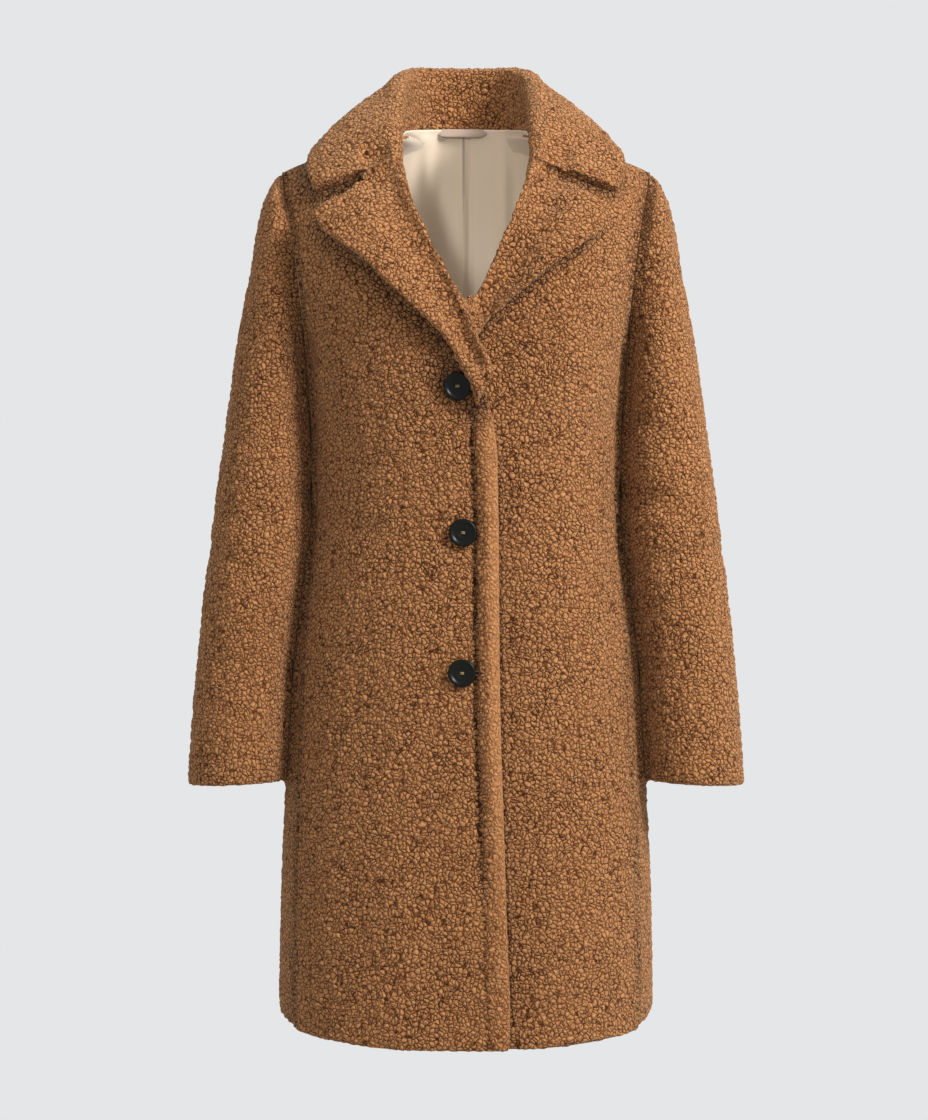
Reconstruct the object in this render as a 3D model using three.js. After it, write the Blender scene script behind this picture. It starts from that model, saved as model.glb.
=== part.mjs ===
import * as THREE from "three";

// Faux fur coat, millimetres, +Z up, front faces -Y, the wearer's left is +X.
// Origin: centre of the neck's base, where a neck holds the coat.

// Sizes a maker would set
const hemZ = -928;
const underarmZ = -235;
const furWall = 8;
const collarWall = 11;
const lapelWall = 11;
const liningWall = 1;
const seamGap = 0.3;
const ringPower = 2.3;
const frontRise = 2;
const backRise = 3;
const buttonRadius = 14;
const buttonHeight = 4.6;

// Body rings below the underarm: height, half width, depth of front and of back
const ringNames = { z: 0, half: 1, front: 2, back: 3 };
const bodyRings = [
  [-235, 165, 130, 122],
  [-300, 161.5, 127, 117],
  [-400, 159, 123, 113],
  [-460, 166, 124, 120],
  [-510, 175.5, 126, 129],
  [-593, 183, 130, 138],
  [-697, 190, 134, 143],
  [-801, 194, 139, 147],
  [-863, 195.5, 142, 149],
  [-940, 195.5, 145, 150],
];

// Half width of the imaginary ring at each rise angle from underarm (0) to shoulder (90)
const upperHalf = [
  [0, 165],
  [5, 169.5],
  [14.4, 178],
  [27.8, 187],
  [42.7, 191],
  [90, 191],
];

// Shoulder line: distance from the middle, height
const shoulderLine = [
  [0, 38],
  [30, 33],
  [48, 22],
  [62, 4],
  [76, -4],
  [100, -11.5],
  [150, -26.5],
  [176, -36],
  [191, -43],
];

// Armhole seam seen from the front: height, distance from the middle
const armholeLine = [
  [-235, 165],
  [-218, 166.2],
  [-187, 168.6],
  [-145, 173],
  [-104, 180],
  [-70, 186.5],
  [-42, 190.3],
];

// Top of the back panel at the neck: distance from the middle, rise angle
const backNeckRise = [
  [0, 64.4],
  [22, 65.7],
  [42, 69.2],
  [54, 74.6],
  [62, 81.7],
  [68, 90],
];

// Where the side seam lies round the ring, 90 is straight out: height, angle
const sideSeam = [
  [-235, 90],
  [-330, 84],
  [-450, 74],
  [-600, 65],
  [-760, 63],
  [-940, 62],
];

// Front edge of the upper layer, below the lapel: height, distance past the middle
const frontEdge = [
  [-256, -28],
  [-300, -30.5],
  [-400, -33],
  [-590, -34.5],
  [-720, -38.5],
  [-790, -40.5],
  [-855, -43.5],
  [-940, -47],
];
// The same of the under layer, which is hidden
const underEdge = [
  [-256, -28],
  [-300, -34],
  [-400, -38],
  [-940, -40],
];

// Roll line of a lapel: height, distance on its own side
const rollLine = [
  [-300, -30],
  [-256, -27],
  [-222, -14],
  [-188, -1],
  [-150, 18],
  [-110, 38],
  [-75, 54],
  [-46, 62],
];

// Neck edge of the front panels above the roll line: height, distance
const frontNeck = [
  [-46, 81],
  [-30, 82],
  [-16, 82],
  [-8, 80.5],
  [-3, 76],
  [2, 68],
  [8, 67],
];

// Outer edge of each lapel from its low end to its tip: distance, height
const lapelEdge = {
  right: [
    [-9, -297],
    [-2, -270],
    [8, -255],
    [21, -228],
    [36, -212],
    [58, -191],
    [79, -171],
    [102, -148],
    [127, -131],
    [139, -119],
    [141, -107],
  ],
  left: [
    [-16, -274],
    [-6, -258],
    [5, -238],
    [16, -220],
    [30, -202],
    [52, -182],
    [74, -164],
    [96, -146],
    [121, -130],
    [133, -117],
    [136, -105],
  ],
};
// Upper edge of each lapel from roll line to tip: distance, height
const lapelTop = {
  right: [
    [62, -47.5],
    [80, -56.5],
    [99, -64.5],
    [106, -74],
    [114, -82],
    [130, -91.5],
    [138, -98],
    [141, -107],
  ],
  left: [
    [62, -47.5],
    [74, -53.5],
    [88, -61],
    [98, -69],
    [108, -77],
    [122, -87],
    [132, -95],
    [136, -105],
  ],
};
// How far the left side goes under the right one: height, depth at the middle
const underDepth = [
  [-940, 9],
  [-345, 9],
  [-312, 14],
  [-285, 22],
  [-165, 22],
  [-125, 10],
  [-85, 0],
];

// Collar stations from the middle of the back to the front end, own side:
// fold apex (fx fy fz), apex turn (0 up, 1 to the middle), outward way (ox oy oz),
// fold radius, stand height, leaf edge (lx ly lz), bulge, sag
const collarNames = {
  fx: 0, fy: 1, fz: 2, turn: 3, ox: 4, oy: 5, oz: 6,
  radius: 7, stand: 8, lx: 9, ly: 10, lz: 11, bulge: 12, sag: 13,
};
const collarRows = [
  [0, 90, 76.5, 0, 0, 1, 0, 8, 64, 0, 109, -14, 3, 0],
  [24, 88.5, 76.5, 0, 0.28, 0.96, 0, 8, 63.2, 50, 105, -16, 3, 0],
  [46, 78, 75.5, 0, 0.62, 0.78, 0, 8, 64.2, 96, 86, -22, 4, 0],
  [63, 54, 70, 0, 0.9, 0.43, 0, 8, 62.5, 132, 58, -26, 6, 0],
  [71, 25, 56, 0.08, 0.99, 0.1, 0, 8, 53, 150, 28, -20, 8, 0],
  [71, -6, 34, 0.2, 0.93, -0.15, 0.3, 7.5, 30.5, 158, -4, -22, 7, 0],
  [69, -33, 9, 0.42, 0.6, -0.5, 0.6, 6.6, 12.5, 162, -30, -34, 4, 0],
  [68, -53, -17, 0.82, 0.25, -0.7, 0.66, 6.4, 9, 159, -47, -54, 1, 2],
  [67.6, -72, -45, 1, 0.08, -0.77, 0.63, 5.8, 8, 146, -53, -75, 0, 4],
];

// Sleeve rings from the armhole to the cuff, own side:
// inner point (x z), outer point (x z), middle in y, half depth
const sleeveNames = { xi: 0, zi: 1, xo: 2, zo: 3, yc: 4, half: 5 };
const sleeveRings = [
  [166, -239, 199, -49.5, 2, 60],
  [165.7, -243, 210, -68, 1, 62.5],
  [165.4, -248, 219, -104, 0, 64],
  [164.9, -256, 227, -148, -3, 64],
  [164.2, -268, 235, -200, -6, 63],
  [162.8, -292, 242.5, -252, -9, 62],
  [161.6, -325, 248.5, -300, -12, 61],
  [160.5, -362, 254.5, -345, -15, 60],
  [159.5, -400, 260.5, -390, -18, 59],
  [163.7, -438, 266, -435, -21, 57.5],
  [169.7, -480, 271, -480, -25, 56],
  [175.8, -520, 275, -523, -29, 54],
  [178.9, -560, 279, -564, -32, 52.5],
  [181.8, -600, 282, -604, -35, 51],
  [183.8, -638, 284.5, -642, -38, 50],
  [185.7, -671, 286.3, -675, -40, 49.5],
];

// Soft folds that hang in the lining: distance from the middle, depth, half width
const liningFolds = [
  [-84, 2.5, 11],
  [-40, 4, 12],
  [-2, 5, 8],
  [42, 4.5, 13],
  [88, 2.5, 12],
];

// Buttons: distance from the middle to the right side, height
const buttonRows = [
  ["button_top", 8.5, -274.5],
  ["button_middle", 3, -420],
  ["button_bottom", 4, -559.5],
];

// Colours and surfaces
const furColour = "#a9794a";
const liningColour = "#b5a389";
const buttonColour = "#1d1f1c";

// Numbers between the rows of a table, from one column to another
function between(rows, at, from = 0, to = 1) {
  const up = rows[0][from] < rows[rows.length - 1][from];
  const list = up ? rows : [...rows].reverse();
  if (at <= list[0][from]) return list[0][to];
  const last = list.length - 1;
  if (at >= list[last][from]) return list[last][to];
  let k = 0;
  while (list[k + 1][from] < at) k += 1;
  const [p, q] = [list[k], list[k + 1]];
  const step = q[from] - p[from];
  const before = k > 0 ? list[k - 1] : p;
  const after = k + 2 <= last ? list[k + 2] : q;
  const slope = (q[to] - p[to]) / step;
  const slopeP = k > 0 ? (q[to] - before[to]) / (q[from] - before[from]) : slope;
  const slopeQ = k + 2 <= last ? (after[to] - p[to]) / (after[from] - p[from]) : slope;
  const t = (at - p[from]) / step;
  const [t2, t3] = [t * t, t * t * t];
  return (2 * t3 - 3 * t2 + 1) * p[to] + (t3 - 2 * t2 + t) * step * slopeP
    + (3 * t2 - 2 * t3) * q[to] + (t3 - t2) * step * slopeQ;
}

// A row between the rows of a table, at a share of its length
function along(rows, share) {
  const marks = rows.map((row, k) => [k, ...row]);
  return rows[0].map((_, column) => between(marks, share * (rows.length - 1), 0, column + 1));
}

function smooth(low, high, value) {
  const t = Math.min(1, Math.max(0, (value - low) / (high - low)));
  return t * t * (3 - 2 * t);
}

const radians = Math.PI / 180;
const signed = (value, power) => Math.sign(value) * Math.pow(Math.abs(value), power);

// Point of the body at an angle round it (0 front, 90 out, 180 back),
// at a height below the underarm, moved in by a depth
function lowerPoint(angle, z, depth) {
  const half = between(bodyRings, z, ringNames.z, ringNames.half);
  const cos = Math.cos(angle * radians);
  const side = cos >= 0 ? ringNames.front : ringNames.back;
  const deep = between(bodyRings, z, ringNames.z, side);
  const x = (half - depth) * signed(Math.sin(angle * radians), 2 / ringPower);
  const y = -(deep - depth) * signed(cos, 2 / ringPower);
  return [x, y, z];
}

// Point of the upper body at an angle round it and a rise angle to the shoulder line
function upperPoint(angle, rise, depth, behind) {
  const half = between(upperHalf, rise);
  const sin = signed(Math.sin(angle * radians), 2 / ringPower);
  const cos = Math.pow(Math.abs(Math.cos(angle * radians)), 2 / ringPower);
  const power = behind ? backRise : frontRise;
  const deep = bodyRings[0][behind ? ringNames.back : ringNames.front];
  const up = Math.sin(rise * radians);
  const level = Math.pow(Math.max(0, 1 - Math.pow(up, power)), 1 / power);
  const top = between(shoulderLine, Math.abs(half * sin)) - underarmZ - depth;
  const y = (deep - depth) * cos * level;
  return [(half - depth) * sin, behind ? y : -y, underarmZ + top * up];
}

// Angle round the ring for a distance from the middle
function angleAt(x, half) {
  const share = Math.min(1, Math.abs(x) / half);
  return Math.sign(x) * Math.asin(Math.pow(share, ringPower / 2)) / radians;
}

// Point of the front seen at (x, z) from the front, moved in by a depth
function frontPoint(x, z, depth) {
  if (z <= underarmZ) {
    return lowerPoint(angleAt(x, between(bodyRings, z, 0, 1)), z, depth);
  }
  const top = between(shoulderLine, Math.abs(x)) - underarmZ;
  const rise = Math.asin(Math.min(1, (z - underarmZ) / top)) / radians;
  return upperPoint(angleAt(x, between(upperHalf, rise)), rise, depth, false);
}

// Outward way of the front at (x, z)
function frontWay(x, z) {
  const a = new THREE.Vector3(...frontPoint(x - 2, z, 0));
  const b = new THREE.Vector3(...frontPoint(x + 2, z, 0));
  const c = new THREE.Vector3(...frontPoint(x, z - 2, 0));
  const d = new THREE.Vector3(...frontPoint(x, z + 2, 0));
  return b.sub(a).cross(d.sub(c)).normalize();
}

// How deep a point lies in the body, below zero outside it
function depthOf([x, y, z]) {
  const behind = y > 0;
  const power = behind ? backRise : frontRise;
  const deep = bodyRings[0][behind ? ringNames.back : ringNames.front];
  const insideAt = (depth) => {
    let rise = 45;
    let far = Math.abs(x);
    let half = 191;
    for (let k = 0; k < 4; k += 1) {
      const top = between(shoulderLine, far) - underarmZ - depth;
      const up = (z - underarmZ) / top;
      if (up >= 1) return false;
      rise = Math.asin(Math.max(0, up)) / radians;
      half = between(upperHalf, rise);
      far = Math.min(half, Math.abs(x) * half / (half - depth));
    }
    if (Math.abs(x) >= half - depth) return false;
    const up = Math.sin(rise * radians);
    const level = Math.pow(1 - Math.pow(up, power), 1 / power);
    const cos = Math.pow(1 - Math.pow(far / half, ringPower), 1 / ringPower);
    return Math.abs(y) < (deep - depth) * cos * level;
  };
  let [low, high] = [-160, 60];
  for (let k = 0; k < 22; k += 1) {
    const middle = (low + high) / 2;
    if (insideAt(middle)) low = middle;
    else high = middle;
  }
  return low;
}

// A point kept at least some distance outside the body
function keptOut(point, clear) {
  let p = [...point];
  for (let k = 0; k < 3; k += 1) {
    const depth = depthOf(p);
    if (depth <= -clear) return p;
    const way = [0, 1, 2].map((axis) => {
      const q = [...p];
      q[axis] += 1;
      return depth - depthOf(q);
    });
    const size = Math.hypot(...way) || 1;
    p = p.map((value, axis) => value + (way[axis] / size) * (depth + clear) / Math.max(0.5, size));
  }
  return p;
}

const pieces = new THREE.Group();

function addPiece(name, points, faces, colour, roughness) {
  const geometry = new THREE.BufferGeometry();
  geometry.setAttribute("position", new THREE.Float32BufferAttribute(points.flat(), 3));
  geometry.setIndex(faces.flat());
  geometry.computeVertexNormals();
  const material = new THREE.MeshStandardMaterial({ color: colour, roughness, metalness: 0 });
  const mesh = new THREE.Mesh(geometry, material);
  mesh.name = name;
  pieces.add(mesh);
}

// Mirror of points and faces in the middle plane
function mirrored(points, faces) {
  return [points.map(([x, y, z]) => [-x, y, z]), faces.map(([a, b, c]) => [a, c, b])];
}

// A wall between an outer and an inner grid of points; the edge loop gets a middle
// line, pushed out by a share of the wall where the edge is free
function wallOf(outer, inner, free) {
  const rows = outer.length;
  const columns = outer[0].length;
  const points = [];
  const faces = [];
  const put = (p) => points.push(p) - 1;
  const top = outer.map((row) => row.map(put));
  const low = inner.map((row) => row.map(put));
  for (let r = 0; r + 1 < rows; r += 1) {
    for (let c = 0; c + 1 < columns; c += 1) {
      const [a, b, d, e] = [top[r][c], top[r][c + 1], top[r + 1][c], top[r + 1][c + 1]];
      faces.push([a, b, e], [a, e, d]);
      const [f, g, h, i] = [low[r][c], low[r][c + 1], low[r + 1][c], low[r + 1][c + 1]];
      faces.push([f, i, g], [f, h, i]);
    }
  }
  const loop = [];
  for (let c = 0; c < columns - 1; c += 1) loop.push([0, c, 1, 0, free.low]);
  for (let r = 0; r < rows - 1; r += 1) loop.push([r, columns - 1, 0, -1, free.end(r)]);
  for (let c = columns - 1; c > 0; c -= 1) loop.push([rows - 1, c, -1, 0, free.high]);
  for (let r = rows - 1; r > 0; r -= 1) loop.push([r, 0, 0, 1, free.start(r)]);
  const middle = loop.map(([r, c, dr, dc, push]) => {
    const [o, i] = [outer[r][c], inner[r][c]];
    const [po, pi] = [outer[r + dr][c + dc], inner[r + dr][c + dc]];
    const wall = Math.hypot(...o.map((v, k) => v - i[k]));
    const away = o.map((v, k) => v + i[k] - po[k] - pi[k]);
    const size = Math.hypot(...away) || 1;
    return put(o.map((v, k) => (v + i[k]) / 2 + (away[k] / size) * push * wall));
  });
  loop.forEach(([r, c], k) => {
    const next = (k + 1) % loop.length;
    const [rn, cn] = loop[next];
    faces.push([top[r][c], middle[k], middle[next]], [top[r][c], middle[next], top[rn][cn]]);
    faces.push([middle[k], low[r][c], low[rn][cn]], [middle[k], low[rn][cn], middle[next]]);
  });
  return [points, faces];
}

// Closed section loops joined one to the next, with both ends capped
function sweepOf(loops, closedAlong = false) {
  const size = loops[0].length;
  const points = loops.flat();
  const faces = [];
  const count = closedAlong ? loops.length : loops.length - 1;
  for (let r = 0; r < count; r += 1) {
    const s = (r + 1) % loops.length;
    for (let k = 0; k < size; k += 1) {
      const next = (k + 1) % size;
      const [a, b, c, d] = [r * size + k, r * size + next, s * size + next, s * size + k];
      faces.push([a, b, c], [a, c, d]);
    }
  }
  if (!closedAlong) {
    const half = size / 2;
    for (const [r, flip] of [[0, true], [loops.length - 1, false]]) {
      for (let k = 0; k + 1 < half; k += 1) {
        const [a, b] = [r * size + k, r * size + k + 1];
        const [c, d] = [r * size + size - 2 - k, r * size + size - 1 - k];
        const pair = a === d ? [[a, b, c]] : b === c ? [[a, b, d]] : [[a, b, c], [a, c, d]];
        for (const face of pair) faces.push(flip ? [face[0], face[2], face[1]] : face);
      }
    }
  }
  return [points, faces];
}

// Rows from the hem to the shoulder, shared by fronts, back and sleeves
const lowerHeights = [
  hemZ, -895, -842, -788, -734, -680, -626, -572, -518, -464, -410, -356, -308, -268, underarmZ,
];
const armholeSteps = 12;
const upperRises = [];
for (let k = 1; k <= armholeSteps; k += 1) {
  upperRises.push(Math.asin((1 - Math.cos(Math.PI * k / armholeSteps)) / 2) / radians);
}

// Armhole point at a rise angle, own side: angle round the body
function armholeAngle(rise) {
  let z = underarmZ;
  for (let k = 0; k < 12; k += 1) {
    const x = between(armholeLine, z);
    z = underarmZ + (between(shoulderLine, x) - underarmZ) * Math.sin(rise * radians);
  }
  return angleAt(between(armholeLine, z), between(upperHalf, rise));
}

// The panel stops this far from the fold of the lapel
const rollGap = 15.5;

function rollAt(z) {
  if (z > -46) return between(frontNeck, z) - rollGap;
  return between(rollLine, z) + 3.5 * smooth(-75, -46, z);
}

// How deep the under layer goes beneath the upper one
function underDip(x, z) {
  return between(underDepth, z) * (1 - smooth(25, 125, x));
}

// Front edge angle of a row above the underarm: roll line and neck, set back from the fold
function frontStart(rise) {
  let z = underarmZ + 100;
  let x = 40;
  for (let k = 0; k < 30; k += 1) {
    x = (x + rollAt(z) + rollGap) / 2;
    z = underarmZ + (between(shoulderLine, Math.abs(x)) - underarmZ) * Math.sin(rise * radians);
  }
  return angleAt(x, between(upperHalf, rise));
}

// The hem rises toward the sides and is rounded at its corners
function hemRise(x) {
  return 8 * smooth(60, 190, Math.abs(x)) + 12 * smooth(176, 198, Math.abs(x));
}

// Front panels, own side positive
function frontPanel(under) {
  const edgeColumns = [0, 10, 23, 35];
  const columns = 12;
  const edge = under ? underEdge : frontEdge;
  const sideGap = 0.06;
  const rimBack = 2;
  // Fixed steps from the edge first, for its rolled ridge, then even steps to the side
  const angleOf = (c, start, end, half) => {
    const last = edgeColumns.length - 1;
    const past = signed(Math.sin(start * radians), 2 / ringPower) * half;
    if (c <= last) return angleAt(past + edgeColumns[c], half);
    const from = angleAt(past + edgeColumns[last], half);
    return from + (end - from) * (c - last) / (columns - last);
  };
  const grid = (wallDepth) => {
    const rows = [];
    for (const z of lowerHeights) {
      const half = between(bodyRings, z, 0, 1);
      const level = z === hemZ ? z - 3 : z;
      const past = z > -270 ? between(rollLine, z) + rollGap : between(edge, z) + rimBack;
      const start = angleAt(past, half);
      const end = between(sideSeam, z) - sideGap;
      const row = [];
      for (let c = 0; c <= columns; c += 1) {
        const angle = angleOf(c, start, end, half);
        const base = lowerPoint(angle, level, 0);
        const rise = z === hemZ ? hemRise(base[0]) : 0;
        const ridge = wallDepth === 0 ? edgeRidge(c, z) : 0;
        row.push(lowerPoint(angle, level + rise, layer(base[0], z) + wallDepth - ridge));
      }
      rows.push(row);
    }
    for (const rise of upperRises) {
      const start = frontStart(rise);
      const end = armholeAngle(rise);
      const row = [];
      for (let c = 0; c <= columns; c += 1) {
        const angle = angleOf(c, start, end, between(upperHalf, rise));
        const base = upperPoint(angle, rise, 0, false);
        const point = upperPoint(angle, rise, layer(base[0], base[2], 1) + wallDepth, false);
        row.push([point[0], point[1] - 0.15, point[2]]);
      }
      rows.push(row);
    }
    return rows;
  };
  // The under layer dips; the upper one has a thick rolled edge with a groove beside it
  const layer = (x, z) => (under ? underDip(x, z) : 0);
  const edgeRidge = (c, z) => {
    if (under || z > -330) return 0;
    return [1, 4, -2, 0][c] * (z < -780 ? 0.5 : 1) || 0;
  };
  const free = {
    low: 0.3,
    high: 0,
    end: () => 0,
    start: (r) => (r < 17 ? 0.3 : 0),
  };
  return wallOf(grid(0), grid(furWall), free);
}

{
  const [points, faces] = frontPanel(false);
  const [rightPoints, rightFaces] = mirrored(points, faces);
  addPiece("front_right", rightPoints, rightFaces, furColour, 0.95);
  const [leftPoints, leftFaces] = frontPanel(true);
  addPiece("front_left", leftPoints, leftFaces, furColour, 0.95);
}

// Back panel and lining, from one side seam round the back to the other
function backGrid(columns, depthAt, lowRow) {
  const rows = [];
  const half = columns / 2;
  const neckColumn = Math.round(half * 0.34);
  for (const z of lowerHeights) {
    if (z < lowRow) continue;
    const level = z;
    const start = between(sideSeam, z) + 0.06;
    const row = [];
    for (let c = 0; c <= columns; c += 1) {
      const share = (c - half) / half;
      const angle = 180 - share * (180 - start);
      const base = lowerPoint(angle, level, 0);
      const rise = z === hemZ ? hemRise(base[0]) : 0;
      row.push(lowerPoint(angle, level + rise, depthAt(base[0], level)));
    }
    rows.push(row);
  }
  upperRises.forEach((rise, k) => {
    const share = (k + 1) / armholeSteps;
    const end = armholeAngle(rise);
    const row = [];
    for (let c = 0; c <= columns; c += 1) {
      const place = Math.abs(c - half);
      const even = end * place / half;
      const neckAngle = angleAt(68, 191);
      const fitted = place <= neckColumn
        ? neckAngle * place / neckColumn
        : neckAngle + (end - neckAngle) * (place - neckColumn) / (half - neckColumn);
      const angle = even + (fitted - even) * share * share;
      const far = between(upperHalf, rise) * Math.pow(Math.sin(angle * radians), 2 / ringPower);
      const limit = between(backNeckRise, far) / 90;
      const riseHere = rise * (1 - (1 - limit) * Math.pow(rise / 90, 2));
      const side = Math.sign(c - half) || 1;
      const base = upperPoint(side * angle, riseHere, 0, true);
      const point = upperPoint(side * angle, riseHere, depthAt(base[0], base[2]), true);
      row.push([point[0], point[1] + 0.15, point[2]]);
    }
    rows.push(row.reverse());
  });
  // Lower rows run from +X to -X as well
  return rows;
}

{
  const orient = (rows) => rows.map((row) => (row[0][0] > row[row.length - 1][0] ? row : row.reverse()));
  const outer = orient(backGrid(20, () => 0, hemZ));
  const inner = orient(backGrid(20, () => furWall, hemZ));
  const free = { low: 0.3, high: 0, end: () => 0, start: () => 0 };
  const [points, faces] = wallOf(outer, inner, free);
  addPiece("back", points, faces, furColour, 0.95);

  const fold = (x, z) => {
    const weight = smooth(-760, -300, z) * 0.5 + 0.5;
    const sum = liningFolds.reduce((total, [at, deep, wide]) => {
      const t = (x - at) / wide;
      return total + deep * Math.exp(-t * t);
    }, 0);
    return furWall + seamGap + sum * weight * (1 - smooth(-20, 12, z));
  };
  const liningOuter = orient(backGrid(20, fold, -895));
  const liningInner = orient(backGrid(20, (x, z) => fold(x, z) + liningWall, -895));
  const edges = { low: 0, high: 0, end: () => 0, start: () => 0 };
  const [liningPoints, liningFaces] = wallOf(liningOuter, liningInner, edges);
  addPiece("lining", liningPoints, liningFaces, liningColour, 0.45);
}

// Sleeves: first ring on the armhole, then the table's rings
{
  const ringPoints = (ring, shrink) => {
    const [xm, zm] = [(ring[0] + ring[2]) / 2, (ring[1] + ring[3]) / 2];
    const [dx, dz] = [(ring[2] - ring[0]) / 2, (ring[3] - ring[1]) / 2];
    const size = Math.hypot(dx, dz);
    const list = [];
    for (let k = 0; k < 2 * armholeSteps; k += 1) {
      const turn = Math.PI * k / armholeSteps;
      const cos = -signed(Math.cos(turn), 2 / 2.15) * (size - shrink) / size;
      const sin = -signed(Math.sin(turn), 2 / 2.15) * (ring[5] - shrink);
      list.push([xm + dx * cos, ring[4] + sin, zm + dz * cos]);
    }
    return list;
  };
  const armhole = (shrink) => {
    const list = [];
    const middle = new THREE.Vector3(177.5, 0, -138.5);
    for (let k = 0; k < 2 * armholeSteps; k += 1) {
      const behind = k > armholeSteps;
      const step = behind ? 2 * armholeSteps - k : k;
      const rise = step === 0 ? 0 : upperRises[step - 1];
      const angle = step === 0 ? 90 : armholeAngle(rise);
      const point = new THREE.Vector3(...upperPoint(angle, rise, 0, behind));
      point.x += 0.5;
      const away = point.clone().sub(middle);
      away.x = 0;
      point.sub(away.normalize().multiplyScalar(shrink));
      point.x += shrink * 0.12;
      list.push(point.toArray());
    }
    return list;
  };
  const rings = sleeveRings;
  const outer = [armhole(0), ...rings.map((ring) => ringPoints(ring, 0))];
  const inner = [armhole(furWall), ...rings.map((ring) => ringPoints(ring, furWall))];
  const last = rings[rings.length - 1];
  const lip = ringPoints(last, furWall / 2).map(([x, y, z]) => [x, y, z - 2.4]);
  const count = outer.length;
  const loops = [];
  for (let k = 0; k < 2 * armholeSteps; k += 1) {
    const loop = outer.map((ring) => ring[k]);
    loop.push(lip[k]);
    for (let r = count - 1; r >= 0; r -= 1) loop.push(inner[r][k]);
    loops.push(loop);
  }
  const [points, faces] = sweepOf(loops, true);
  addPiece("sleeve_left", points, faces, furColour, 0.95);
  const [rightPoints, rightFaces] = mirrored(points, faces);
  addPiece("sleeve_right", rightPoints, rightFaces, furColour, 0.95);
}

// Collar: a folded band of stand and leaf round the neck
{
  const half = 14;
  const section = (share, side) => {
    const row = along(collarRows, share);
    const value = (name) => row[collarNames[name]];
    const turn = value("turn") * 90 * radians;
    const apex = new THREE.Vector3(-Math.sin(turn), 0, Math.cos(turn));
    const out = new THREE.Vector3(value("ox"), value("oy"), value("oz"));
    out.sub(apex.clone().multiplyScalar(out.dot(apex))).normalize();
    const top = new THREE.Vector3(value("fx"), value("fy"), value("fz"));
    const radius = value("radius");
    const centre = top.clone().sub(apex.clone().multiplyScalar(radius));
    const at = (e, o) => centre.clone().add(apex.clone().multiplyScalar(e)).add(out.clone().multiplyScalar(o));
    const legs = value("stand") - radius;
    const line = [];
    for (const part of [1, 0.66, 0.33]) line.push(at(-legs * part, -radius * (1 - 0.35 * part * (1 - value("turn")))));
    for (const angle of [-90, -45, 0, 45, 90]) {
      line.push(at(radius * Math.cos(angle * radians), radius * Math.sin(angle * radians)));
    }
    const from = line[line.length - 1].clone();
    const tip = new THREE.Vector3(...keptOut([value("lx"), value("ly"), value("lz")], collarWall / 2 + 0.6));
    const chord = tip.clone().sub(from);
    const bow = apex.clone().multiplyScalar(0.5).add(out);
    bow.sub(chord.clone().multiplyScalar(bow.dot(chord) / chord.lengthSq())).normalize();
    for (const part of [0.2, 0.4, 0.6, 0.8, 1]) {
      const hump = 4 * part * (1 - part);
      const point = from.clone().add(chord.clone().multiplyScalar(part));
      point.add(bow.clone().multiplyScalar(value("bulge") * hump));
      point.z -= value("sag") * hump;
      line.push(new THREE.Vector3(...keptOut(point.toArray(), collarWall / 2 + 0.6)));
    }
    const frame = out.clone().cross(apex).normalize();
    const upper = [];
    const lower = [];
    const size = line.length;
    line.forEach((point, k) => {
      const before = line[Math.max(0, k - 1)];
      const after = line[Math.min(size - 1, k + 1)];
      const way = after.clone().sub(before).normalize();
      const normal = way.clone().cross(frame).normalize();
      const wall = (k === 0 || k === size - 1 ? 0.36 : 0.5) * collarWall;
      upper.push(point.clone().add(normal.clone().multiplyScalar(-wall)));
      lower.push(point.clone().add(normal.clone().multiplyScalar(wall)));
    });
    const first = line[0].clone().sub(line[1]).normalize().multiplyScalar(1.5).add(line[0]);
    const end = line[size - 1].clone().sub(line[size - 2]).normalize().multiplyScalar(4).add(line[size - 1]);
    const loop = [first, ...upper, end, ...lower.reverse()];
    return loop.map((p) => [p.x * side, p.y, p.z]);
  };
  const loops = [];
  for (let k = half; k > 0; k -= 1) loops.push(section(k / half, 1));
  loops.push(section(0, 1));
  for (let k = 1; k <= half; k += 1) loops.push(section(k / half, -1));
  const [points, faces] = sweepOf(loops);
  addPiece("collar", points, faces, furColour, 0.95);
}

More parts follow.
